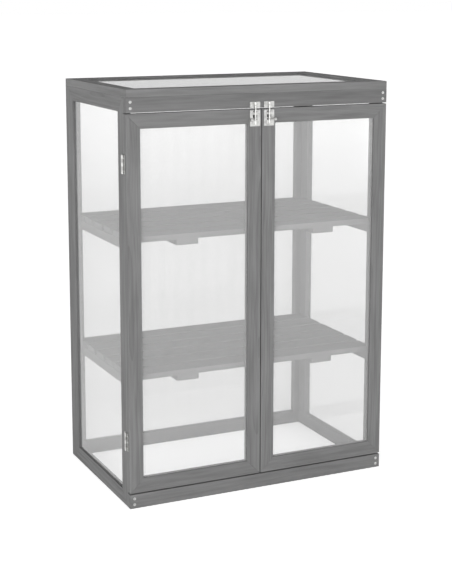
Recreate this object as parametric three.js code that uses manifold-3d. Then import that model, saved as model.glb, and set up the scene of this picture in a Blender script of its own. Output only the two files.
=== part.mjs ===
// Wooden mini greenhouse: a glazed cabinet of grooved and mitred frames, with two hinged
// doors, a bolt on each door, and two slatted shelves that rest on cleats.
// Millimetres, +X to the right, +Y to the back, +Z up. The front faces -Y, and the origin
// lies on the ground under the middle of the whole outline, bolts and hinges included.
import * as THREE from 'three';
import { mergeVertices } from 'three/addons/utils/BufferGeometryUtils.js';
import Module from 'manifold-3d';

const wasm = await Module();
wasm.setup();

// Overall size of the timber
const WIDTH = 760;
const DEPTH = 470;
const HEIGHT = 1100;

// Clearances: between fitted pieces, and over-length of a cut
const FIT_GAP = 0.3;
const OVERRUN = 2;

// Timber stock that all frames, the header and the plinth are made of
const BOARD_WIDTH = 38;
const BOARD_THICKNESS = 20;
const EDGE_ROUND = 0.6;
const ROUND_STEPS = 3;

// Twin-wall sheet and the groove that holds it, which lies nearer to the outside
const SHEET_THICKNESS = 4;
const SHEET_GAP = 0.3;
const GROOVE_DEPTH = 8;
const GROOVE_END_GAP = 0.5;
const THIN_LIP = 4.4;

// Doors
const DOOR_TOP_GAP = 3;
const DOOR_BOTTOM_GAP = 4;
const DOOR_MEETING_GAP = 3;

// Shelves, each of slats on two battens, resting on a cleat at either side
const UPPER_SHELF_TOP = 719.3;
const LOWER_SHELF_TOP = 353.3;
const SHELF_SIDE_GAP = 2;
const SHELF_BACK_GAP = 2;
const SHELF_FRONT_GAP = 8;
const SLAT_COUNT = 6;
const SLAT_GAP = 13;
const SLAT_THICKNESS = 15;
const BATTEN_WIDTH = 62;
const BATTEN_THICKNESS = 15;
const BATTEN_INSET = 125;
const BATTEN_LAP = 0.5;
const CLEAT_THICKNESS = 15;
const CLEAT_HEIGHT = 24;
const CLEAT_END_GAP = 2;

// Butt hinges on the outer sides, with the pin standing proud of the timber
const HINGE_HEIGHT = 48;
const HINGE_TOP_INSET = 128;
const HINGE_BOTTOM_INSET = 138;
const LEAF_WIDTH = 14;
const LEAF_THICKNESS = 1.5;
const LEAF_CORNER = 2;
const KNUCKLE_COUNT = 5;
const KNUCKLE_RADIUS = 3;
const KNUCKLE_GAP = 0.3;
const PIN_RADIUS = 1.5;
const PIN_PLAY = 0.15;
const PIN_HEAD_RADIUS = 2.4;
const PIN_HEAD_HEIGHT = 1.2;
const TURNED_STEPS = 16;

// Door bolts: a plate with two pressed straps, a round rod with a side knob, and a keeper
const PLATE_WIDTH = 30;
const PLATE_HEIGHT = 42;
const PLATE_THICKNESS = 1.2;
const PLATE_CORNER = 2;
const PLATE_DROP = 3;
const KEEPER_HEIGHT = 16;
const STRAP_THICKNESS = 1;
const UPPER_STRAP_DROP = 5;
const UPPER_STRAP_HEIGHT = 7;
const LOWER_STRAP_DROP = 26;
const LOWER_STRAP_HEIGHT = 12;
const LOWER_STRAP_FLARE = 2.6;
const KEEPER_STRAP_HEIGHT = 7;
const KEEPER_STRAP_DROP = 1.2;
const ROD_RADIUS = 2.3;
const ROD_PLAY = 0.5;
const ROD_NOSE = 0.8;
const ROD_TO_KEEPER_GAP = 0.6;
const ROD_TAIL_DROP = 10;
const KNOB_RADIUS = 4.2;
const KNOB_LENGTH = 7;
const KNOB_REACH = 19;
const KNOB_CREST = 1.2;
const KNOB_TILT = THREE.MathUtils.degToRad(20);
const KNOB_STEM_RADIUS = 1.3;
const KNOB_STEM_SOCKET = 1.2;
const KNOB_LIFT = 0.5;

// Finishes
const finish = (color, roughness, metalness, more = {}) =>
  new THREE.MeshStandardMaterial({ color, roughness, metalness, ...more });
const greyStain = () => finish(0x7f7f7f, 0.75, 0);
const polycarbonate = () => finish(0xe6e8e8, 0.35, 0, { transparent: true, opacity: 0.45 });
const zincPlate = () => finish(0xd2d2d0, 0.35, 0.9);

// Sizes that follow from the ones above
const sideX = WIDTH / 2;
const backY = DEPTH / 2;
const frontY = backY - DEPTH;
const doorBackY = frontY + BOARD_THICKNESS;
const panelFrontY = doorBackY + FIT_GAP;
const backPanelFrontY = backY - BOARD_THICKNESS;
const panelHeight = HEIGHT - BOARD_THICKNESS - FIT_GAP;
const sideLength = backPanelFrontY - FIT_GAP - panelFrontY;
const headerBottom = panelHeight - BOARD_WIDTH;
const doorBottom = BOARD_WIDTH + DOOR_BOTTOM_GAP;
const doorTop = headerBottom - DOOR_TOP_GAP;
const doorHeight = doorTop - doorBottom;
const doorWidth = (WIDTH - DOOR_MEETING_GAP) / 2;
const grooveWidth = SHEET_THICKNESS + 2 * SHEET_GAP;
const thickLip = BOARD_THICKNESS - grooveWidth - THIN_LIP;

// Solids

function toSolid(geometry) {
  const bare = geometry.clone();
  bare.deleteAttribute('normal');
  bare.deleteAttribute('uv');
  const merged = mergeVertices(bare);
  return new wasm.Manifold(new wasm.Mesh({
    numProp: 3,
    vertProperties: merged.attributes.position.array,
    triVerts: new Uint32Array(merged.index.array),
  }));
}

function fromSolid(solid) {
  const { vertProperties, triVerts } = solid.getMesh();
  const geometry = new THREE.BufferGeometry();
  geometry.setAttribute('position', new THREE.BufferAttribute(vertProperties, 3));
  geometry.setIndex(new THREE.BufferAttribute(triVerts, 1));
  const flat = geometry.toNonIndexed();
  flat.computeVertexNormals();
  return flat;
}

const union = (first, ...rest) => rest.reduce((sum, part) => sum.add(part), first);

function named(name, geometry, material) {
  const mesh = new THREE.Mesh(geometry, material);
  mesh.name = name;
  return mesh;
}

// A rectangle with rounded corners, its lowest corner at (x, y).
function roundedRectangle(x, y, width, height, radius) {
  const shape = new THREE.Shape();
  shape.moveTo(x + radius, y);
  shape.lineTo(x + width - radius, y);
  shape.absarc(x + width - radius, y + radius, radius, -Math.PI / 2, 0);
  shape.lineTo(x + width, y + height - radius);
  shape.absarc(x + width - radius, y + height - radius, radius, 0, Math.PI / 2);
  shape.lineTo(x + radius, y + height);
  shape.absarc(x + radius, y + height - radius, radius, Math.PI / 2, Math.PI);
  shape.lineTo(x, y + radius);
  shape.absarc(x + radius, y + radius, radius, Math.PI, 3 * Math.PI / 2);
  return shape;
}

const extrude = (shape, depth) =>
  new THREE.ExtrudeGeometry(shape, { depth, bevelEnabled: false, curveSegments: ROUND_STEPS });

// A board with eased long edges, along +X from x = 0, its section from (0, 0) to (y, z).
function boardAlongX(length, sectionY, sectionZ) {
  const geometry = extrude(roundedRectangle(0, 0, sectionY, sectionZ, EDGE_ROUND), length);
  return geometry.rotateX(Math.PI / 2).rotateZ(Math.PI / 2);
}

// The same board along +Y from y = 0, its section from (0, 0) to (x, z).
const boardAlongY = (length, sectionX, sectionZ) =>
  boardAlongX(length, sectionX, sectionZ).rotateZ(Math.PI / 2).translate(sectionX, 0, 0);

// Frames

// Section of a frame rail: a from the outer edge inwards, t through the thickness. The
// inner edge has the groove for the sheet, which starts at t = lip.
function railSection(lip) {
  const shape = roundedRectangle(0, 0, BOARD_WIDTH, BOARD_THICKNESS, EDGE_ROUND);
  const points = shape.extractPoints(ROUND_STEPS).shape;
  const high = lip + grooveWidth;
  const floor = BOARD_WIDTH - GROOVE_DEPTH;
  const groove = [[BOARD_WIDTH, lip], [floor, lip], [floor, high], [BOARD_WIDTH, high]];
  const before = points.findIndex((p) => p.x > BOARD_WIDTH - EDGE_ROUND && p.y > high);
  points.splice(before, 0, ...groove.map(([a, t]) => new THREE.Vector2(a, t)));
  return new THREE.Shape(points);
}

// A rail of the given outer length along +X, with its outer edge on y = 0. Both ends are
// mitred by moving each end point inwards by its distance from the outer edge.
function mitredRail(length, lip) {
  const geometry = extrude(railSection(lip), length);
  const position = geometry.attributes.position;
  const setback = FIT_GAP / Math.SQRT2;
  for (let i = 0; i < position.count; i += 1) {
    const inwards = position.getX(i) + setback;
    const atStart = position.getZ(i) < length / 2;
    position.setZ(i, atStart ? inwards : length - inwards);
  }
  geometry.rotateX(Math.PI / 2).rotateZ(Math.PI / 2);
  geometry.computeVertexNormals();
  return geometry;
}

// The sheet of a frame, held in the grooves on all four sides.
function sheetGeometry(width, height, lip) {
  const edge = BOARD_WIDTH - GROOVE_DEPTH + GROOVE_END_GAP;
  const sheetWidth = width - 2 * edge;
  const sheetHeight = height - 2 * edge;
  const geometry = new THREE.BoxGeometry(sheetWidth, sheetHeight, SHEET_THICKNESS);
  return geometry.translate(width / 2, height / 2, lip + grooveWidth / 2);
}

// A frame in its own XY plane from (0, 0) to (width, height), BOARD_THICKNESS thick along
// +Z, with a lip of this thickness below its sheet. The rails are listed anticlockwise from
// the one on y = 0.
function frame(name, width, height, railNames, lip) {
  const group = new THREE.Group();
  const corners = [[0, 0], [width, 0], [width, height], [0, height]];
  railNames.forEach((railName, turn) => {
    const length = turn % 2 ? height : width;
    const rail = named(`${name}_${railName}`, mitredRail(length, lip), greyStain());
    rail.position.set(...corners[turn], 0);
    rail.rotation.z = turn * Math.PI / 2;
    group.add(rail);
  });
  group.add(named(`${name}_sheet`, sheetGeometry(width, height, lip), polycarbonate()));
  return group;
}

// Stands a frame up across the width: its X stays, its Y goes up, its faces look along Y.
function standAcross(group, x, y, z) {
  group.rotation.x = Math.PI / 2;
  group.position.set(x, y, z);
  return group;
}

// Stands a frame up along the depth, its X running from front to back.
function standAlong(group, x, y, z) {
  const turned = new THREE.Group();
  turned.add(standAcross(group, 0, 0, 0));
  turned.rotation.z = Math.PI / 2;
  turned.position.set(x, y, z);
  return turned;
}

const DOOR_RAILS = ['bottom_rail', 'right_stile', 'top_rail', 'left_stile'];
const SIDE_RAILS = ['bottom_rail', 'back_stile', 'top_rail', 'front_stile'];
const ROOF_RAILS = ['front_rail', 'right_rail', 'back_rail', 'left_rail'];

function cabinet() {
  const group = new THREE.Group();
  const header = named('header', boardAlongX(WIDTH, BOARD_THICKNESS, BOARD_WIDTH), greyStain());
  header.position.set(-sideX, frontY, headerBottom);
  const plinth = named('plinth', boardAlongX(WIDTH, BOARD_THICKNESS, BOARD_WIDTH), greyStain());
  plinth.position.set(-sideX, frontY, 0);
  group.add(header, plinth);
  const leftSide = frame('left_side', sideLength, panelHeight, SIDE_RAILS, THIN_LIP);
  const rightSide = frame('right_side', sideLength, panelHeight, SIDE_RAILS, thickLip);
  group.add(standAlong(leftSide, -sideX, panelFrontY, 0));
  group.add(standAlong(rightSide, sideX - BOARD_THICKNESS, panelFrontY, 0));
  const back = frame('back', WIDTH, panelHeight, DOOR_RAILS, THIN_LIP);
  group.add(standAcross(back, -sideX, backY, 0));
  const roof = frame('roof', WIDTH, DEPTH, ROOF_RAILS, thickLip);
  roof.position.set(-sideX, frontY, HEIGHT - BOARD_THICKNESS);
  group.add(roof);
  return group;
}

function doors() {
  const group = new THREE.Group();
  const left = frame('left_door', doorWidth, doorHeight, DOOR_RAILS, thickLip);
  const right = frame('right_door', doorWidth, doorHeight, DOOR_RAILS, thickLip);
  group.add(standAcross(left, -sideX, doorBackY, doorBottom));
  group.add(standAcross(right, sideX - doorWidth, doorBackY, doorBottom));
  return group;
}

// Shelves

function shelfGeometry() {
  const width = WIDTH - 2 * BOARD_THICKNESS - 2 * SHELF_SIDE_GAP;
  const front = doorBackY + SHELF_FRONT_GAP;
  const depth = backPanelFrontY - SHELF_BACK_GAP - front;
  const slatWidth = (depth - (SLAT_COUNT - 1) * SLAT_GAP) / SLAT_COUNT;
  const pieces = [];
  for (let i = 0; i < SLAT_COUNT; i += 1) {
    const slat = boardAlongX(width, slatWidth, SLAT_THICKNESS);
    pieces.push(slat.translate(-width / 2, front + i * (slatWidth + SLAT_GAP), -SLAT_THICKNESS));
  }
  for (const side of [-1, 1]) {
    const height = BATTEN_THICKNESS + BATTEN_LAP;
    const batten = boardAlongY(depth, BATTEN_WIDTH, height);
    const middle = side * (width / 2 - BATTEN_INSET - BATTEN_WIDTH / 2);
    const bottom = -SLAT_THICKNESS - BATTEN_THICKNESS;
    pieces.push(batten.translate(middle - BATTEN_WIDTH / 2, front, bottom));
  }
  return fromSolid(union(...pieces.map(toSolid)));
}

function shelves() {
  const group = new THREE.Group();
  for (const [level, top] of [['upper', UPPER_SHELF_TOP], ['lower', LOWER_SHELF_TOP]]) {
    const shelf = named(`${level}_shelf`, shelfGeometry(), greyStain());
    shelf.position.z = top;
    group.add(shelf);
    const cleatTop = top - SLAT_THICKNESS - FIT_GAP;
    const cleatFront = doorBackY + CLEAT_END_GAP;
    const cleatLength = backPanelFrontY - CLEAT_END_GAP - cleatFront;
    for (const side of [-1, 1]) {
      const geometry = boardAlongY(cleatLength, CLEAT_THICKNESS, CLEAT_HEIGHT);
      const cleat = named(`${level}_${side < 0 ? 'left' : 'right'}_cleat`, geometry, greyStain());
      const middle = side * (sideX - BOARD_THICKNESS - FIT_GAP - CLEAT_THICKNESS / 2);
      cleat.position.set(middle - CLEAT_THICKNESS / 2, cleatFront, cleatTop - CLEAT_HEIGHT);
      group.add(cleat);
    }
  }
  return group;
}

// Hinges

const hingeAxisX = sideX + FIT_GAP + KNUCKLE_RADIUS;
const hingeAxisY = doorBackY + FIT_GAP / 2;
const knucklePitch = HINGE_HEIGHT / KNUCKLE_COUNT;

const uprightCylinder = (radius, height) =>
  new THREE.CylinderGeometry(radius, radius, height, TURNED_STEPS).rotateX(Math.PI / 2);

// One leaf about the pin's axis, from z = 0 up. The leaf lies along +Y when way is 1 and
// along -Y when way is -1, on the timber's side of the pin, which is -X when side is 1.
// A leaf carries every second knuckle, counted from first.
function hingeLeaf(side, way, first) {
  const plateNear = KNUCKLE_RADIUS + KNUCKLE_GAP;
  const plateY = way > 0 ? plateNear : -LEAF_WIDTH;
  const outline = roundedRectangle(plateY, 0, LEAF_WIDTH - plateNear, HINGE_HEIGHT, LEAF_CORNER);
  const plateX = side > 0 ? -KNUCKLE_RADIUS : KNUCKLE_RADIUS - LEAF_THICKNESS;
  const onTimber = (shape) =>
    extrude(shape, LEAF_THICKNESS).rotateX(Math.PI / 2).rotateZ(Math.PI / 2).translate(plateX, 0, 0);
  let leaf = toSolid(onTimber(outline));
  const tabLength = plateNear + LEAF_CORNER;
  const tabY = way > 0 ? 0 : -tabLength;
  const height = knucklePitch - KNUCKLE_GAP;
  for (let i = first; i < KNUCKLE_COUNT; i += 2) {
    const low = i * knucklePitch + KNUCKLE_GAP / 2;
    const tab = new THREE.BoxGeometry(LEAF_THICKNESS, tabLength, height);
    tab.translate(plateX + LEAF_THICKNESS / 2, tabY + tabLength / 2, low + height / 2);
    const knuckle = uprightCylinder(KNUCKLE_RADIUS, height).translate(0, 0, low + height / 2);
    leaf = union(leaf, toSolid(tab), toSolid(knuckle));
  }
  const bore = uprightCylinder(PIN_RADIUS + PIN_PLAY, HINGE_HEIGHT + 2 * OVERRUN);
  return fromSolid(leaf.subtract(toSolid(bore.translate(0, 0, HINGE_HEIGHT / 2))));
}

// The pin with its rounded head, standing on z = 0.
function hingePin() {
  const top = HINGE_HEIGHT + FIT_GAP;
  const crown = top + PIN_HEAD_HEIGHT;
  const profile = [
    [0, 0], [PIN_RADIUS, 0], [PIN_RADIUS, top], [PIN_HEAD_RADIUS, top],
    [PIN_HEAD_RADIUS, top + PIN_HEAD_HEIGHT / 2], [PIN_RADIUS, crown], [0, crown],
  ].map(([radius, height]) => new THREE.Vector2(radius, height));
  return new THREE.LatheGeometry(profile, TURNED_STEPS).rotateX(Math.PI / 2);
}

function hinges() {
  const group = new THREE.Group();
  const levels = [
    ['upper', doorTop - HINGE_TOP_INSET - HINGE_HEIGHT / 2],
    ['lower', doorBottom + HINGE_BOTTOM_INSET - HINGE_HEIGHT / 2],
  ];
  for (const [level, bottom] of levels) {
    for (const side of [-1, 1]) {
      const name = `${side < 0 ? 'left' : 'right'}_${level}_hinge`;
      const hinge = new THREE.Group();
      hinge.add(named(`${name}_frame_leaf`, hingeLeaf(side, 1, 0), zincPlate()));
      hinge.add(named(`${name}_door_leaf`, hingeLeaf(side, -1, 1), zincPlate()));
      hinge.add(named(`${name}_pin`, hingePin(), zincPlate()));
      hinge.position.set(side * hingeAxisX, hingeAxisY, bottom);
      group.add(hinge);
    }
  }
  return group;
}

// Bolts

const plateFaceY = -FIT_GAP - PLATE_THICKNESS;
const rodAxisY = plateFaceY - ROD_PLAY - ROD_RADIUS;
const strapInner = ROD_RADIUS + ROD_PLAY;
const strapOuter = strapInner + STRAP_THICKNESS;

// A plate with rounded corners, centred on x = 0, standing on z = 0, just off the timber.
function platePart(width, height) {
  const outline = roundedRectangle(-width / 2, 0, width, height, PLATE_CORNER);
  return toSolid(extrude(outline, PLATE_THICKNESS).rotateX(Math.PI / 2).translate(0, -FIT_GAP, 0));
}

// A pressed strap that arches over the rod, its feet in the plate and spread by flare.
function strap(bottom, height, flare) {
  const rise = -rodAxisY + plateFaceY;
  const foot = -PLATE_THICKNESS / 2;
  const shape = new THREE.Shape();
  shape.moveTo(-strapOuter - flare, foot);
  shape.lineTo(-strapInner, foot);
  shape.lineTo(-strapInner, rise);
  shape.absarc(0, rise, strapInner, Math.PI, 0, true);
  shape.lineTo(strapInner, foot);
  shape.lineTo(strapOuter + flare, foot);
  shape.lineTo(strapOuter, rise);
  shape.absarc(0, rise, strapOuter, 0, Math.PI, false);
  shape.lineTo(-strapOuter - flare, foot);
  const geometry = new THREE.ExtrudeGeometry(shape, {
    depth: height, bevelEnabled: false, curveSegments: TURNED_STEPS / 2,
  });
  return toSolid(geometry.rotateX(Math.PI).translate(0, plateFaceY, bottom + height));
}

// The plate on a door, with a strap near its top and a domed one lower down.
function boltPlate() {
  const upper = PLATE_HEIGHT - UPPER_STRAP_DROP - UPPER_STRAP_HEIGHT;
  const lower = PLATE_HEIGHT - LOWER_STRAP_DROP - LOWER_STRAP_HEIGHT;
  return fromSolid(union(
    platePart(PLATE_WIDTH, PLATE_HEIGHT),
    strap(upper, UPPER_STRAP_HEIGHT, 0),
    strap(lower, LOWER_STRAP_HEIGHT, LOWER_STRAP_FLARE),
  ));
}

function keeper() {
  const bottom = KEEPER_HEIGHT - KEEPER_STRAP_DROP - KEEPER_STRAP_HEIGHT;
  return fromSolid(union(
    platePart(PLATE_WIDTH, KEEPER_HEIGHT),
    strap(bottom, KEEPER_STRAP_HEIGHT, 0),
  ));
}

const plateBottom = doorTop - PLATE_DROP - PLATE_HEIGHT;
const keeperStrapBottom = headerBottom + KEEPER_HEIGHT - KEEPER_STRAP_DROP - KEEPER_STRAP_HEIGHT;
const lowerStrapTop = doorTop - PLATE_DROP - LOWER_STRAP_DROP;
const rodTop = keeperStrapBottom - ROD_TO_KEEPER_GAP;
const rodBottom = lowerStrapTop - ROD_TAIL_DROP;
const knobHeight = lowerStrapTop + KNOB_STEM_RADIUS + KNOB_LIFT - rodBottom;

// The rod from z = 0 up, with softened ends and a socket for the knob's stem on one side.
function rod(side) {
  const length = rodTop - rodBottom;
  const profile = [
    [0, 0], [ROD_RADIUS - ROD_NOSE, 0], [ROD_RADIUS, ROD_NOSE],
    [ROD_RADIUS, length - ROD_NOSE], [ROD_RADIUS - ROD_NOSE, length], [0, length],
  ].map(([radius, height]) => new THREE.Vector2(radius, height));
  const bar = toSolid(new THREE.LatheGeometry(profile, TURNED_STEPS).rotateX(Math.PI / 2));
  const reach = KNOB_STEM_SOCKET + FIT_GAP + OVERRUN;
  const socket = uprightCylinder(KNOB_STEM_RADIUS + PIN_PLAY, reach).rotateY(Math.PI / 2);
  const middle = ROD_RADIUS - KNOB_STEM_SOCKET - FIT_GAP + reach / 2;
  socket.translate(side * middle, 0, knobHeight).rotateZ(-side * KNOB_TILT);
  return fromSolid(bar.subtract(toSolid(socket)));
}

// The knob and its stem, pointing away from the door's free edge and tilted to the front.
function knob(side) {
  const inner = ROD_RADIUS - KNOB_STEM_SOCKET;
  const neck = KNOB_REACH - KNOB_LENGTH;
  const profile = [
    [0, inner], [KNOB_STEM_RADIUS, inner], [KNOB_STEM_RADIUS, neck],
    [KNOB_RADIUS - KNOB_CREST, neck], [KNOB_RADIUS, neck + KNOB_CREST],
    [KNOB_RADIUS, KNOB_REACH - KNOB_CREST], [KNOB_RADIUS - KNOB_CREST, KNOB_REACH], [0, KNOB_REACH],
  ].map(([radius, height]) => new THREE.Vector2(radius, height));
  const geometry = new THREE.LatheGeometry(profile, TURNED_STEPS);
  return geometry.rotateZ(-side * (Math.PI / 2 + KNOB_TILT));
}

function bolts() {
  const group = new THREE.Group();
  for (const side of [-1, 1]) {
    const name = `${side < 0 ? 'left' : 'right'}_bolt`;
    const bolt = new THREE.Group();
    bolt.position.set(side * (DOOR_MEETING_GAP + BOARD_WIDTH) / 2, frontY, 0);
    const plate = named(`${name}_plate`, boltPlate(), zincPlate());
    plate.position.z = plateBottom;
    const catchPlate = named(`${name}_keeper`, keeper(), zincPlate());
    catchPlate.position.z = headerBottom;
    const bar = named(`${name}_rod`, rod(side), zincPlate());
    bar.position.set(0, rodAxisY, rodBottom);
    const handle = named(`${name}_knob`, knob(side), zincPlate());
    handle.position.set(0, rodAxisY, rodBottom + knobHeight);
    bolt.add(plate, catchPlate, bar, handle);
    group.add(bolt);
  }
  return group;
}

const greenhouse = new THREE.Group();
greenhouse.add(cabinet(), doors(), shelves(), hinges(), bolts());

// The knobs stand in front of the timber, so the outline's middle lies a little forward.
const knobRise = (KNOB_REACH - KNOB_CREST) * Math.sin(KNOB_TILT) + KNOB_RADIUS * Math.cos(KNOB_TILT);
greenhouse.position.y = (knobRise - rodAxisY) / 2;

export default greenhouse;
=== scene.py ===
import math
import random

import bpy
import numpy as np
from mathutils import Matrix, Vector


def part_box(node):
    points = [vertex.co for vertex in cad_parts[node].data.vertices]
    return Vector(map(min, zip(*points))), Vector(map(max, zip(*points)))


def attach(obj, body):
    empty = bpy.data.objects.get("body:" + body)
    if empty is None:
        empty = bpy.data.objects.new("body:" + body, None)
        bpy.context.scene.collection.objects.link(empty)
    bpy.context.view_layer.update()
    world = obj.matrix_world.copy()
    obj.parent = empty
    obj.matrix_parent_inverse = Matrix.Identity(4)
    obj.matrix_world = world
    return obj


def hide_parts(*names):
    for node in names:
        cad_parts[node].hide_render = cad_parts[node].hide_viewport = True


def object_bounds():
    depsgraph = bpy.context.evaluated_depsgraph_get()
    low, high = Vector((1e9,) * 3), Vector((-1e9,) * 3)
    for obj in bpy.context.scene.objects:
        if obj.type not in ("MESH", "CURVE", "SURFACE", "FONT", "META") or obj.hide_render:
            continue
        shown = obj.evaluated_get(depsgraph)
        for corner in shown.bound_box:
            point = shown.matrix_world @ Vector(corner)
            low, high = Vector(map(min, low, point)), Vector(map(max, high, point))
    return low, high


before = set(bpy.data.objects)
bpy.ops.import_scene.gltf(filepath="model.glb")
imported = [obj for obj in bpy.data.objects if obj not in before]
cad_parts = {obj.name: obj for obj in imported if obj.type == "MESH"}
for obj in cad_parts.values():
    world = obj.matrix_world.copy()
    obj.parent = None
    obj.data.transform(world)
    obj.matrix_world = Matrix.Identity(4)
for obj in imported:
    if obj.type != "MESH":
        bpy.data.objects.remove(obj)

# Looks of a timber mini greenhouse: grey-stained boards, clear twin-wall sheets held in
# grooves, bright zinc hinges and bolts, slatted shelves, and the screws and brads that
# hold them. Lengths are in metres, in the frame's own axes.

MM = 0.001
X, Y, Z = 0, 1, 2

low_before, high_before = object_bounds()

# Sizes that the frame doesn't say
SLATS_PER_SHELF = 6
SLAT_GAP = 13 * MM
SLAT_THICKNESS = 15 * MM
BATTEN_WIDTH = 62 * MM
BATTEN_INSET = 125 * MM
EDGE_ROUND = 0.6 * MM
END_EASE = 0.4 * MM
CORNER_POINTS = 5

# Screws and their places
BOARD_SCREW_RADIUS = 3.6 * MM
BOARD_SCREW_INSET = 12 * MM
BOARD_SCREW_SPREAD = 8 * MM
HARDWARE_SCREW_RADIUS = 2.2 * MM
HINGE_SCREW_SPREAD = 16 * MM
LEAF_THICKNESS = 1.5 * MM
PLATE_GAP = 0.3 * MM
PLATE_THICKNESS = 1.2 * MM
PLATE_SCREW_INSET = 5 * MM
KEEPER_SCREW_RISE = 8 * MM

# A screw's head: how many rings it has, and points to a ring, and the rim's height
SCREW_RINGS = 9
SCREW_POINTS = 32
SCREW_RIM = 0.2 * MM

# The same head as shares of its radius: its smallest ring, the crown's height, and its
# cross recess. The recess's depth is a share of the crown's height.
SCREW_INNERMOST = 0.06
SCREW_CROWN = 0.22
RECESS_HALF_WIDTH = 0.2
RECESS_WIDTH_SLOPE = 0.1
RECESS_REACH = 0.66
RECESS_REACH_SLOPE = 0.12
RECESS_DEPTH = 1.5

# Brads of the shelves
BRAD_RADIUS = 1.4 * MM
BRAD_PROUD = 0.15 * MM
BRAD_TOP_SHARE = 0.6
BRAD_POINTS = 12
BRAD_SPREAD = 19 * MM

# Painted shade on a bolt's plate, dark patches in pairs beside its rod where shadow falls:
# how far from the rod's axis, and where they start and end below the plate's top edge
PAINTED_SHADE_AWAY = 4.4 * MM
PAINTED_SHADE_HALF_WIDTH = 1.8 * MM
PAINTED_SHADE_ROWS = ((2.4 * MM, 5.0 * MM), (12.0 * MM, 20.0 * MM), (22.4 * MM, 26.0 * MM))
PAINTED_SHADE_EDGE = 0.15 * MM

# Flutes of the twin-wall sheet, and the share of it that is clear. The side sheets' flutes
# lie level and catch less of the lamps.
FLUTE_PITCH = 5.8 * MM
WEB_WIDTH = 0.9 * MM
WEB_MILK = 0.05
WEB_ROUGHNESS = 0.4
SHEET_WAVE = 0.005 * MM
SHEET_ROUGHNESS = 0.03
SHEET_IOR = 1.4
UPRIGHT_FLUTES_CLEAR = 0.85
LEVEL_FLUTES_CLEAR = 0.945

# The photograph's frame, and the camera that was fitted to the timber's corners in it
IMAGE_HEIGHT_PIXELS = 584
FOCAL_LENGTH_PIXELS = 1337.4
CAMERA_FROM_CORNER = (-1.188, -3.122, 1.351)
CAMERA_YAW = math.radians(24.96)
CAMERA_PITCH = math.radians(9.70)
CAMERA_SHIFT = (0.0067, -0.13)
CAMERA_FAR = 200
SENSOR_MM = 36

# Timber: noise cells to a metre along and across the grain, and how far the boards' noise
# starts apart
SWAY_CELLS = (2.2, 9)
FIBRE_CELLS = (22, 1300)
STREAK_CELLS = (7, 130)
PATCH_CELLS = (3.5, 30)
NOISE_START = 40

# Growth rings: how far away the pith may lie across a board and through it, its lean
# along the board, the rings' pitch and sway, and how suddenly late wood begins
PITH_ACROSS = 30 * MM
PITH_THROUGH = (35 * MM, 90 * MM)
PITH_LEAN = 0.02
RING_PITCH = 3.1 * MM
RING_SWAY = 14 * MM
LATE_POWER = 3

# The stain's shade from dark to light: its middle, and the share of each that changes it
SHADE_MIDDLE = 0.62
SHADE_BY_STREAK = 1.1
SHADE_BY_FIBRE = 0.6
SHADE_BY_PATCH = 0.8
SHADE_BY_LATE = 0.3
RUBBED_WIDTHS = (0.4 * MM, 1.8 * MM)
RUBBED_SHARE = 0.9

# The timber's surface
TIMBER_ROUGHNESS = 0.74
ROUGHNESS_BY_FIBRE = 0.16
TIMBER_GLOSS = 0.06
TIMBER_RELIEF = 0.12 * MM
LATE_HEIGHT = 0.5

# Zinc: noise cells to a metre, where patches begin and are full, and the surface
ZINC_PATCH_CELLS = 160
ZINC_GRAIN_CELLS = 2200
ZINC_GRAIN_CELLS_UP = 900
ZINC_PATCH_RANGE = (0.35, 0.8)
ZINC_RELIEF = 0.02 * MM
ROUGHNESS_BY_PATCH = 0.15
# How much rougher the painted shade on the bolt plates is
PAINTED_SHADE_ROUGHNESS_GAIN = 0.4
PLATED_ROUGHNESS = 0.4
SHADED_ROUGHNESS = 0.45
BRAD_ROUGHNESS = 0.5

# Finishes
STAIN_LIGHT = (0.237, 0.237, 0.237, 1)
STAIN_DARK = (0.158, 0.158, 0.158, 1)
STAIN_RUBBED = (0.28, 0.28, 0.278, 1)
SHEET_CLEAR = (0.94, 0.94, 0.94, 1)
SHEET_WHITE = (0.85, 0.85, 0.85, 1)
SHEET_PASSES = (0.92, 0.92, 0.92, 1)
ZINC = (0.54, 0.54, 0.53, 1)
# Dull patches in the zinc, and also the lighter part of the painted shade on hinge pins and
# leaves
ZINC_DULL_AND_SHADE = (0.40, 0.40, 0.39, 1)
# The darker part of that painted shade on the hinge pins and the doors' leaves
ZINC_PAINTED_SHADE = (0.24, 0.24, 0.235, 1)
ZINC_NEW = (0.72, 0.72, 0.71, 1)
STEEL = (0.36, 0.36, 0.35, 1)
# Painted shade, near black, on the bolt plates beside their rods
PAINTED_SHADE_COLOUR = (0.03, 0.03, 0.03, 1)
WHITE = (1, 1, 1, 1)
FLOOR_GREY = (0.9, 0.9, 0.9, 1)

# Studio light: the dome's level all over, what a band at the horizon adds, what the dome
# loses in a mirror, the floor's own light, and two lamps
DOME_LEVEL = 0.30
HORIZON_BAND = 2.3
HORIZON_POWER = 4
MIRRORED_LOSS = 0.14
FLOOR_REACH = 60
FLOOR_LIFT = 0.66
# Through a sheet: painted shade on the floor beside the object, and painted light far away
FLOOR_UNDER = 0.2
FLOOR_NEAR = 0.6
FLOOR_FAR = 12
FLOOR_NEAR_LOSS = 0.19
FLOOR_FAR_GAIN = 0.16
LAMP_WIDTH = 3.0
LAMP_HEIGHT = 1.5
KEY_POWER = 71
KEY_PLACE = (-3.1, -3.0, 1.0)
FILL_POWER = 35
FILL_PLACE = (3.4, -2.6, 1.0)


# Shader maths

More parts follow.
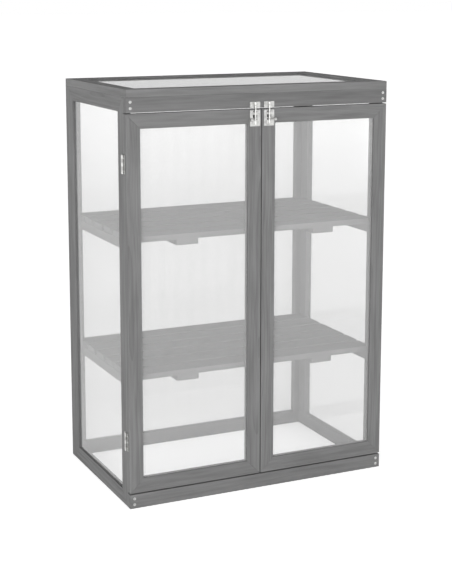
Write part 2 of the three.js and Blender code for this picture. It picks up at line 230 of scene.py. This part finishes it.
class Socket:
    """A node's output that takes part in Python sums. Each operator adds a Math node."""

    def __init__(self, nodes, output):
        self.nodes = nodes
        self.output = output

    def math(self, operation, *others):
        return self.nodes.add("ShaderNodeMath", {"operation": operation}, [self, *others])

    def __add__(self, other):
        return self.math("ADD", other)

    __radd__ = __add__

    def __sub__(self, other):
        return self.math("SUBTRACT", other)

    def __rsub__(self, other):
        return self.nodes.add("ShaderNodeMath", {"operation": "SUBTRACT"}, [other, self])

    def __mul__(self, other):
        return self.math("MULTIPLY", other)

    __rmul__ = __mul__

    def __truediv__(self, other):
        return self.math("DIVIDE", other)

    def __pow__(self, other):
        return self.math("POWER", other)

    def __abs__(self):
        return self.math("ABSOLUTE")

    def rising(self, low, high):
        """0 below low, 1 above high, and a smooth step between them."""
        settings = {"interpolation_type": "SMOOTHSTEP"}
        inputs = {"From Min": low, "From Max": high, "Value": self}
        return self.nodes.add("ShaderNodeMapRange", settings, inputs)


class Nodes:
    """The nodes of one material or world."""

    def __init__(self, owner):
        owner.use_nodes = True
        self.tree = owner.node_tree
        self.tree.nodes.clear()

    def add(self, kind, settings, inputs, output=0):
        """A node of this kind. Settings are set first, then its inputs, by name or place."""
        node = self.tree.nodes.new(kind)
        for name, value in settings.items():
            setattr(node, name, value)
        pairs = inputs.items() if isinstance(inputs, dict) else enumerate(inputs)
        for key, value in pairs:
            if isinstance(value, Socket):
                self.tree.links.new(value.output, node.inputs[key])
            else:
                node.inputs[key].default_value = value
        return Socket(self, node.outputs[output] if node.outputs else None)

    def place(self):
        """The three object coordinates of the point that is shaded."""
        place = self.add("ShaderNodeTexCoord", {}, {}, "Object")
        return [self.add("ShaderNodeSeparateXYZ", {}, [place], axis) for axis in (X, Y, Z)]

    def noise(self, along, across, through, detail=2):
        """Soft noise from 0 to 1, one cell to each unit of its three coordinates."""
        vector = self.add("ShaderNodeCombineXYZ", {}, [along, across, through])
        inputs = {"Vector": vector, "Scale": 1, "Detail": detail}
        return self.add("ShaderNodeTexNoise", {}, inputs)

    def blend(self, share, first, second):
        """The first colour, or the second where share is 1. A mix node has its two colours
        as inputs 6 and 7, and their mix as output 2."""
        inputs = {0: share, 6: first, 7: second}
        return self.add("ShaderNodeMix", {"data_type": "RGBA"}, inputs, 2)

    def bump(self, height, distance):
        inputs = {"Height": height, "Distance": distance, "Strength": 1}
        return self.add("ShaderNodeBump", {}, inputs)

    def path(self, kind):
        """1 for rays of one kind, such as camera, glossy or transmission rays."""
        return self.add("ShaderNodeLightPath", {}, {}, f"Is {kind} Ray")

    def seen(self):
        """1 for rays that show a surface to the eye, straight, in gloss or through glass."""
        straight = self.path("Camera").math("MAXIMUM", self.path("Glossy"))
        return straight.math("MAXIMUM", self.path("Transmission"))

    def finish(self, shader, kind="ShaderNodeOutputMaterial"):
        self.add(kind, {}, {"Surface": shader})


# Materials

def dress(piece, material):
    """Give a piece this material alone."""
    piece.data.materials.clear()
    piece.data.materials.append(material)


def stained_timber(name, low, high, along, tone=1.0):
    """Grey stain on softwood. The growth rings are cylinders about a pith that lies outside
    the board and leans along it, so that faces show lines and arches and ends show arcs.
    Fine fibres, wider streaks and broad patches run along the board, and the stain is
    rubbed thin on the eased edges."""
    random.seed(name)
    material = bpy.data.materials.new(name)
    nodes = Nodes(material)
    place = nodes.place()
    axes = [along, (along + 1) % 3, (along + 2) % 3]
    centre = [(low[i] + high[i]) / 2 for i in axes]
    half = [(high[i] - low[i]) / 2 for i in axes]
    grain, across, through = (place[i] - c for i, c in zip(axes, centre))
    start = random.uniform(-NOISE_START, NOISE_START)
    pith_across = random.uniform(-PITH_ACROSS, PITH_ACROSS)
    pith_through = random.choice((-1, 1)) * random.uniform(*PITH_THROUGH)
    lean = random.uniform(-PITH_LEAN, PITH_LEAN)

    def grained(cells, offset, detail=2):
        """Noise with its own cells along the grain and across it."""
        lengthwise = grain * cells[0] + offset
        return nodes.noise(lengthwise, across * cells[1], through * cells[1], detail)

    sway = grained(SWAY_CELLS, start)
    off_across = across - pith_across - grain * lean
    off_through = through - pith_through
    radius = (off_across * off_across + off_through * off_through) ** 0.5
    ring = ((radius + sway * RING_SWAY) / RING_PITCH).math("FRACT")
    late = ring ** LATE_POWER
    fibre = grained(FIBRE_CELLS, start, 3)
    streak = grained(STREAK_CELLS, -start)
    patch = grained(PATCH_CELLS, start)
    shade = SHADE_MIDDLE + (streak - 0.5) * SHADE_BY_STREAK + (fibre - 0.5) * SHADE_BY_FIBRE
    shade = shade + (patch - 0.5) * SHADE_BY_PATCH - late * SHADE_BY_LATE
    dark = [part * tone for part in STAIN_DARK[:3]] + [1]
    light = [part * tone for part in STAIN_LIGHT[:3]] + [1]
    stain = nodes.blend(shade.rising(0, 1), dark, light)
    edge_across = half[1] - abs(across)
    edge_through = half[2] - abs(through)
    edge = 1 - edge_across.math("MAXIMUM", edge_through).rising(*RUBBED_WIDTHS)
    rubbed = nodes.blend(edge * streak * RUBBED_SHARE, stain, STAIN_RUBBED)
    height = fibre - late * LATE_HEIGHT
    surface = nodes.add("ShaderNodeBsdfPrincipled", {}, {
        "Base Color": rubbed,
        "Roughness": TIMBER_ROUGHNESS + fibre * ROUGHNESS_BY_FIBRE,
        "Specular IOR Level": TIMBER_GLOSS,
        "Normal": nodes.bump(height, TIMBER_RELIEF),
    })
    nodes.finish(surface)
    return material


def twin_wall_sheet(name, across, clear_share):
    """Clear sheet of two skins with a web between them at each flute. It is faintly milky,
    milkier at the webs, and slightly wavy across the flutes, which softens what lies far
    behind it. Lamps and diffuse light pass straight through."""
    material = bpy.data.materials.new(name)
    nodes = Nodes(material)
    place = nodes.place()
    flute = (place[across] / FLUTE_PITCH).math("FRACT")
    from_web = abs(flute - 0.5) * FLUTE_PITCH
    web = 1 - from_web.rising(WEB_WIDTH / 4, WEB_WIDTH * 3 / 4)
    wave = (flute * math.tau).math("COSINE")
    clear = nodes.add("ShaderNodeBsdfPrincipled", {}, {
        "Base Color": SHEET_CLEAR,
        "Roughness": SHEET_ROUGHNESS,
        "IOR": SHEET_IOR,
        "Transmission Weight": clear_share,
        "Normal": nodes.bump(wave, SHEET_WAVE),
    })
    milky = nodes.add("ShaderNodeBsdfPrincipled", {}, {
        "Base Color": SHEET_WHITE,
        "Roughness": WEB_ROUGHNESS,
    })
    sheet = nodes.add("ShaderNodeMixShader", {}, [web * WEB_MILK, clear, milky])
    passes = nodes.add("ShaderNodeBsdfTransparent", {}, {"Color": SHEET_PASSES})
    straight = nodes.path("Shadow").math("MAXIMUM", nodes.path("Diffuse"))
    nodes.finish(nodes.add("ShaderNodeMixShader", {}, [straight, sheet, passes]))
    return material


def zinc_plate(name, bright, dull, roughness, painted_shade=lambda x, z: 0):
    """Plated steel: a bright coat, duller in soft patches, with a fine pressed grain. Where
    the given mask gives 1, painted shade shows instead: dark, rougher and not metallic."""
    material = bpy.data.materials.new(name)
    nodes = Nodes(material)
    x, y, z = nodes.place()
    patch = nodes.noise(*(way * ZINC_PATCH_CELLS for way in (x, y, z)), 3)
    grain = nodes.noise(x * ZINC_GRAIN_CELLS, y * ZINC_GRAIN_CELLS, z * ZINC_GRAIN_CELLS_UP)
    coat = nodes.blend(patch.rising(*ZINC_PATCH_RANGE), bright, dull)
    painted_shade_share = painted_shade(x, z)
    uneven = (patch - 0.5) * ROUGHNESS_BY_PATCH
    surface = nodes.add("ShaderNodeBsdfPrincipled", {}, {
        "Base Color": nodes.blend(painted_shade_share, coat, PAINTED_SHADE_COLOUR),
        "Roughness": roughness + uneven + painted_shade_share * PAINTED_SHADE_ROUGHNESS_GAIN,
        "Metallic": 1 - painted_shade_share,
        "Normal": nodes.bump(grain, ZINC_RELIEF),
    })
    nodes.finish(surface)
    return material


def painted_plate_shade(axis, top):
    """Painted shade on a bolt's plate, in pairs of patches beside its rod, as a share of x and
    z.
    """

    def within(place, middle, half):
        return 1 - abs(place - middle).rising(half - PAINTED_SHADE_EDGE, half + PAINTED_SHADE_EDGE)

    def painted_shade(x, z):
        rows = [
            within(top - z, (start + end) / 2, (end - start) / 2)
            for start, end in PAINTED_SHADE_ROWS
        ]
        return within(abs(x - axis), PAINTED_SHADE_AWAY, PAINTED_SHADE_HALF_WIDTH) * sum(rows)

    return painted_shade


# Meshes

def closed_loft(rings):
    """Points and faces of a skin over closed rings of points, flat at its two ends. The
    rings run anticlockwise as seen from the end that the last ring is on."""
    count, around = rings.shape[:2]
    first = np.arange(count - 1)[:, None] * around
    here = np.arange(around)[None, :]
    ahead = (here + 1) % around
    corners = [first + here, first + ahead, first + around + ahead, first + around + here]
    quads = np.stack(corners, axis=-1).reshape(-1, 4)
    start = np.arange(around)[::-1]
    end = np.arange(around) + (count - 1) * around
    return rings.reshape(-1, 3), [*quads.tolist(), start.tolist(), end.tolist()]


def add_piece(name, parts, material, body):
    """One piece from several lofts, at the origin, riding on a body."""
    starts = np.cumsum([0] + [len(points) for points, _ in parts])
    points = np.concatenate([points for points, _ in parts])
    faces = []
    for start, (_, skin) in zip(starts, parts):
        faces += [[i + start for i in face] for face in skin]
    mesh = bpy.data.meshes.new(name)
    mesh.from_pydata(points.tolist(), [], faces)
    mesh.materials.append(material)
    piece = bpy.data.objects.new(name, mesh)
    bpy.context.scene.collection.objects.link(piece)
    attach(piece, body)
    return piece


def eased_board(low, high, along):
    """A rounded rectangle carried along a board, drawn in a little at both ends."""
    low, high = np.array(low, float), np.array(high, float)
    sides = [(along + 1) % 3, (along + 2) % 3]
    centre = (low + high)[sides] / 2
    half = (high - low)[sides] / 2 - EDGE_ROUND
    quarter = np.repeat(np.arange(4), CORNER_POINTS)
    turn = (quarter + np.tile(np.linspace(0, 1, CORNER_POINTS), 4)) * math.pi / 2
    corner = np.array([[1, 1], [-1, 1], [-1, -1], [1, -1]])[quarter]
    arc = np.stack([np.cos(turn), np.sin(turn)], -1) * EDGE_ROUND
    stations = [low[along], low[along] + END_EASE, high[along] - END_EASE, high[along]]
    draws = [END_EASE, 0, 0, END_EASE]
    rings = np.empty((len(stations), len(turn), 3))
    for ring, station, draw in zip(rings, stations, draws):
        ring[:, along] = station
        ring[:, sides] = centre + corner * (half - draw) + arc
    return closed_loft(rings)


# For a head that looks along an axis: where its own x, y and z point
FACING_FRONT = np.array([[1, 0, 0], [0, 0, 1], [0, -1, 0]])
FACING_LEFT = np.array([[0, -1, 0], [0, 0, 1], [-1, 0, 0]])
FACING_RIGHT = np.array([[0, 1, 0], [0, 0, 1], [1, 0, 0]])


def screw_head(centre, facing, radius, turn):
    """A crowned head with a cross recess: height falls from the crown to the rim as one
    less the square of the share of the radius, and drops into the two crossed arms."""
    shares = np.linspace(1, SCREW_INNERMOST, SCREW_RINGS)[:, None]
    angles = np.linspace(0, math.tau, SCREW_POINTS, endpoint=False)[None, :]
    across, up = shares * np.cos(angles), shares * np.sin(angles)
    arm = np.minimum(np.abs(across), np.abs(up))
    reach = np.maximum(np.abs(across), np.abs(up))
    within_arm = np.clip((RECESS_HALF_WIDTH - arm) / RECESS_WIDTH_SLOPE, 0, 1)
    within_reach = np.clip((RECESS_REACH - reach) / RECESS_REACH_SLOPE, 0, 1)
    recess = within_arm * within_reach
    height = SCREW_RIM + radius * SCREW_CROWN * (1 - shares ** 2 - RECESS_DEPTH * recess)
    top = np.stack([across * radius, up * radius, height], -1)
    base = np.stack([top[0, :, 0], top[0, :, 1], np.zeros(SCREW_POINTS)], -1)[None]
    rings = np.concatenate([base, top])
    c, s = math.cos(turn), math.sin(turn)
    spun = rings @ np.array([[c, s, 0], [-s, c, 0], [0, 0, 1]])
    return closed_loft(spun @ facing + np.array(centre))


def brad_head(centre):
    """A small flat head: a low cylinder, drawn in to a narrower top."""
    angles = np.linspace(0, math.tau, BRAD_POINTS, endpoint=False)
    circle = np.stack([np.cos(angles), np.sin(angles), np.zeros(BRAD_POINTS)], -1) * BRAD_RADIUS
    heights = [(1, 0), (1, BRAD_PROUD / 2), (BRAD_TOP_SHARE, BRAD_PROUD)]
    rings = np.stack([circle * share + [0, 0, height] for share, height in heights])
    return closed_loft(rings + np.array(centre))


# Pieces of the frame, each with its material. The roof's stain is a little lighter than the
# other boards', and the header's darker.

TONES = {"roof": 1.03, "header": 0.9}
BOARD_AXES = {
    "header": X, "plinth": X, "bottom_rail": X, "top_rail": X, "front_rail": X, "back_rail": X,
    "stile": Z, "left_rail": Y, "right_rail": Y, "cleat": Y,
}


def board_axis(node):
    """The axis that a board's grain runs along."""
    if "_side_" in node and node.endswith("rail"):
        return Y
    return next(axis for ending, axis in BOARD_AXES.items() if node.endswith(ending))


def dress_boards():
    """Give each board of the frames its own grain."""
    for node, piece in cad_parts.items():
        if any(word in node for word in ("sheet", "hinge", "bolt", "shelf")):
            continue
        tone = TONES.get(node.split("_")[0], 1)
        low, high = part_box(node)
        dress(piece, stained_timber(f"stain_on_{node}", low, high, board_axis(node), tone))


def dress_sheets():
    """The side sheets' flutes lie level. All the others run upright, or back in the roof."""
    upright = twin_wall_sheet("twin_wall_over_width", X, UPRIGHT_FLUTES_CLEAR)
    level = twin_wall_sheet("twin_wall_over_height", Z, LEVEL_FLUTES_CLEAR)
    for node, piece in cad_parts.items():
        if node.endswith("_sheet"):
            dress(piece, level if "_side_" in node else upright)


def dress_hardware():
    """Zinc on the hinges and bolts, darker on the pins and the doors' leaves as painted shade.
    """
    plated = zinc_plate("zinc_plated", ZINC, ZINC_DULL_AND_SHADE, PLATED_ROUGHNESS)
    # A darker copy of the zinc: painted shade for the shadow on the pins and doors' leaves
    shaded = zinc_plate("zinc_painted_shade", ZINC_DULL_AND_SHADE, ZINC_PAINTED_SHADE, SHADED_ROUGHNESS)
    for node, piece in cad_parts.items():
        if node.endswith("bolt_plate"):
            low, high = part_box(node)
            # Patches of painted shade beside the rod, standing in for the shadow that falls
            # there
            painted_shade = painted_plate_shade((low.x + high.x) / 2, high.z)
            name = f"zinc_with_painted_shade_on_{node}"
            dress(piece, zinc_plate(name, ZINC, ZINC_DULL_AND_SHADE, PLATED_ROUGHNESS, painted_shade))
        elif node.endswith(("hinge_pin", "hinge_door_leaf")):
            dress(piece, shaded)
        elif "hinge" in node or "bolt" in node:
            dress(piece, plated)


# Shelves, board by board

def shelf_board(node, part, corners, along):
    """One board in the space of a shelf's solid."""
    name = f"{node}_{part}"
    timber = stained_timber(f"stain_on_{name}", *corners, along)
    board = add_piece(name, [eased_board(*corners, along)], timber, "cabinet")
    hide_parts(node)


def shelf_boards(node):
    """The slats and battens of a shelf, and their brads."""
    low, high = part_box(node)
    slat_width = (high.y - low.y - (SLATS_PER_SHELF - 1) * SLAT_GAP) / SLATS_PER_SHELF
    pitch = slat_width + SLAT_GAP
    under = high.z - SLAT_THICKNESS
    steel = bpy.data.materials["brad_steel"]
    heads = []
    for side, place in (("left", -1), ("right", 1)):
        middle = place * (high.x - BATTEN_INSET - BATTEN_WIDTH / 2)
        corners = (
            (middle - BATTEN_WIDTH / 2, low.y, low.z),
            (middle + BATTEN_WIDTH / 2, high.y, under),
        )
        shelf_board(node, f"{side}_batten", corners, Y)
        for slat in range(SLATS_PER_SHELF):
            y = low.y + slat * pitch + slat_width / 2
            for step in (-BRAD_SPREAD, BRAD_SPREAD):
                heads.append(brad_head((middle + step, y + step, high.z)))
    for slat in range(SLATS_PER_SHELF):
        front = low.y + slat * pitch
        corners = (low.x, front, under), (high.x, front + slat_width, high.z)
        shelf_board(node, f"slat_{slat + 1}", corners, X)
    add_piece(f"{node}_brads", heads, steel, "cabinet")


# Screws

def turned_screw(centre, facing, radius):
    """A screw head whose recess is turned by chance."""
    return screw_head(centre, facing, radius, random.uniform(0, math.tau))


def board_screws():
    """Two screws at each end of the header and the plinth, into the side panels."""
    random.seed("board screws")
    steel = bpy.data.materials["screw_steel"]
    for node in ("header", "plinth"):
        low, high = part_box(node)
        middle = (low.z + high.z) / 2
        heads = []
        for x in (low.x + BOARD_SCREW_INSET, high.x - BOARD_SCREW_INSET):
            for z in (middle - BOARD_SCREW_SPREAD, middle + BOARD_SCREW_SPREAD):
                heads.append(turned_screw((x, low.y, z), FACING_FRONT, BOARD_SCREW_RADIUS))
        add_piece(f"{node}_screws", heads, steel, "cabinet")


def hinge_screws():
    """Three screws in each hinge leaf, down the middle of its flat."""
    random.seed("hinge screws")
    steel = bpy.data.materials["screw_steel"]
    for side, facing in (("left", FACING_LEFT), ("right", FACING_RIGHT)):
        for level in ("upper", "lower"):
            pin_low, pin_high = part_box(f"{side}_{level}_hinge_pin")
            for leaf, body in (("frame_leaf", "cabinet"), ("door_leaf", f"{side}_door")):
                node = f"{side}_{level}_hinge_{leaf}"
                low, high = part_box(node)
                if leaf == "frame_leaf":
                    y = (pin_high.y + high.y) / 2
                else:
                    y = (low.y + pin_low.y) / 2
                timber = low.x if side == "right" else high.x
                x = timber + facing[2][0] * LEAF_THICKNESS
                middle = (low.z + high.z) / 2
                heads = [
                    turned_screw((x, y, middle + step), facing, HARDWARE_SCREW_RADIUS)
                    for step in (-HINGE_SCREW_SPREAD, 0, HINGE_SCREW_SPREAD)
                ]
                add_piece(f"{node}_screws", heads, steel, body)


def bolt_screws():
    """Four screws in each bolt plate, near its corners, and two in each keeper."""
    random.seed("bolt screws")
    steel = bpy.data.materials["screw_steel"]
    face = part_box("header")[0].y - PLATE_GAP - PLATE_THICKNESS
    for side in ("left", "right"):
        low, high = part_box(f"{side}_bolt_plate")
        columns = (low.x + PLATE_SCREW_INSET, high.x - PLATE_SCREW_INSET)
        rows = (low.z + PLATE_SCREW_INSET, high.z - PLATE_SCREW_INSET)
        places = [(x, face, z) for x in columns for z in rows]
        keeper_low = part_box(f"{side}_bolt_keeper")[0]
        catch = [(x, face, keeper_low.z + KEEPER_SCREW_RISE) for x in columns]
        groups = (("plate", places, f"{side}_door"), ("keeper", catch, "cabinet"))
        for name, spots, body in groups:
            heads = [turned_screw(spot, FACING_FRONT, HARDWARE_SCREW_RADIUS) for spot in spots]
            add_piece(f"{side}_bolt_{name}_screws", heads, steel, body)


# Stage

def make_floor():
    """A plain pale floor. It shows itself lifted to white, and keeps the shadow. Through a
    sheet it has painted shade beside the object, not under it, and painted light far away."""
    material = bpy.data.materials.new("pale_floor")
    nodes = Nodes(material)
    x, y = nodes.place()[:2]
    away = (x * x + y * y) ** 0.5
    beside = away.rising(FLOOR_UNDER, FLOOR_NEAR) * FLOOR_NEAR_LOSS
    beyond = away.rising(FLOOR_NEAR, FLOOR_FAR) * (FLOOR_NEAR_LOSS + FLOOR_FAR_GAIN)
    # Painted shade beside the object and painted light far off, seen only through a sheet
    through = nodes.path("Transmission") * (beyond - beside)
    strength = nodes.seen() * FLOOR_LIFT + through
    paint = nodes.add("ShaderNodeBsdfDiffuse", {}, {"Color": FLOOR_GREY})
    lift = nodes.add("ShaderNodeEmission", {}, {"Color": WHITE, "Strength": strength})
    nodes.finish(nodes.add("ShaderNodeAddShader", {}, [paint, lift]))
    mesh = bpy.data.meshes.new("floor")
    reach = FLOOR_REACH
    corners = [(-reach, -reach, 0), (reach, -reach, 0), (reach, reach, 0), (-reach, reach, 0)]
    mesh.from_pydata(corners, [], [(0, 1, 2, 3)])
    mesh.materials.append(material)
    floor = bpy.data.objects.new("floor", mesh)
    bpy.context.scene.collection.objects.link(floor)


def light_studio():
    """A soft dome, brighter at the horizon than overhead, and two wide lamps in front."""
    world = bpy.data.worlds.new("studio")
    bpy.context.scene.world = world
    nodes = Nodes(world)
    place = nodes.add("ShaderNodeTexCoord", {}, {}, "Generated")
    height = abs(nodes.add("ShaderNodeSeparateXYZ", {}, [place], Z))
    level = DOME_LEVEL + (1 - height) ** HORIZON_POWER * HORIZON_BAND
    seen = nodes.seen()
    mirrored = nodes.path("Glossy") * (1 - nodes.path("Transmission"))
    strength = seen - mirrored * MIRRORED_LOSS + (1 - seen) * level
    dome = nodes.add("ShaderNodeBackground", {}, {"Color": WHITE, "Strength": strength})
    nodes.finish(dome, "ShaderNodeOutputWorld")
    middle = (low_before + high_before) / 2
    for name, power, spot in (("key", KEY_POWER, KEY_PLACE), ("fill", FILL_POWER, FILL_PLACE)):
        data = bpy.data.lights.new(name, "AREA")
        data.energy = power
        data.shape = "RECTANGLE"
        data.size = LAMP_WIDTH
        data.size_y = LAMP_HEIGHT
        lamp = bpy.data.objects.new(name, data)
        lamp.location = spot
        lamp.rotation_euler = (middle - lamp.location).to_track_quat("-Z", "Y").to_euler()
        bpy.context.scene.collection.objects.link(lamp)


def set_camera():
    """The camera at the photograph's angle, placed from the timber's lower left corner."""
    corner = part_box("plinth")[0]
    data = bpy.data.cameras.new("camera")
    data.sensor_width = SENSOR_MM
    data.lens = FOCAL_LENGTH_PIXELS * SENSOR_MM / IMAGE_HEIGHT_PIXELS
    data.shift_x, data.shift_y = CAMERA_SHIFT
    data.clip_end = CAMERA_FAR
    camera = bpy.data.objects.new("camera", data)
    camera.location = [c + away for c, away in zip(corner, CAMERA_FROM_CORNER)]
    camera.rotation_euler = (math.pi / 2 - CAMERA_PITCH, 0, -CAMERA_YAW)
    bpy.context.scene.collection.objects.link(camera)
    bpy.context.scene.camera = camera


set_camera()
make_floor()
light_studio()
bpy.context.scene.view_settings.view_transform = "Standard"

zinc_plate("screw_steel", ZINC_NEW, ZINC, PLATED_ROUGHNESS)
zinc_plate("brad_steel", STEEL, STEEL, BRAD_ROUGHNESS)
dress_boards()
dress_sheets()
dress_hardware()
shelf_boards("upper_shelf")
shelf_boards("lower_shelf")
board_screws()
hinge_screws()
bolt_screws()
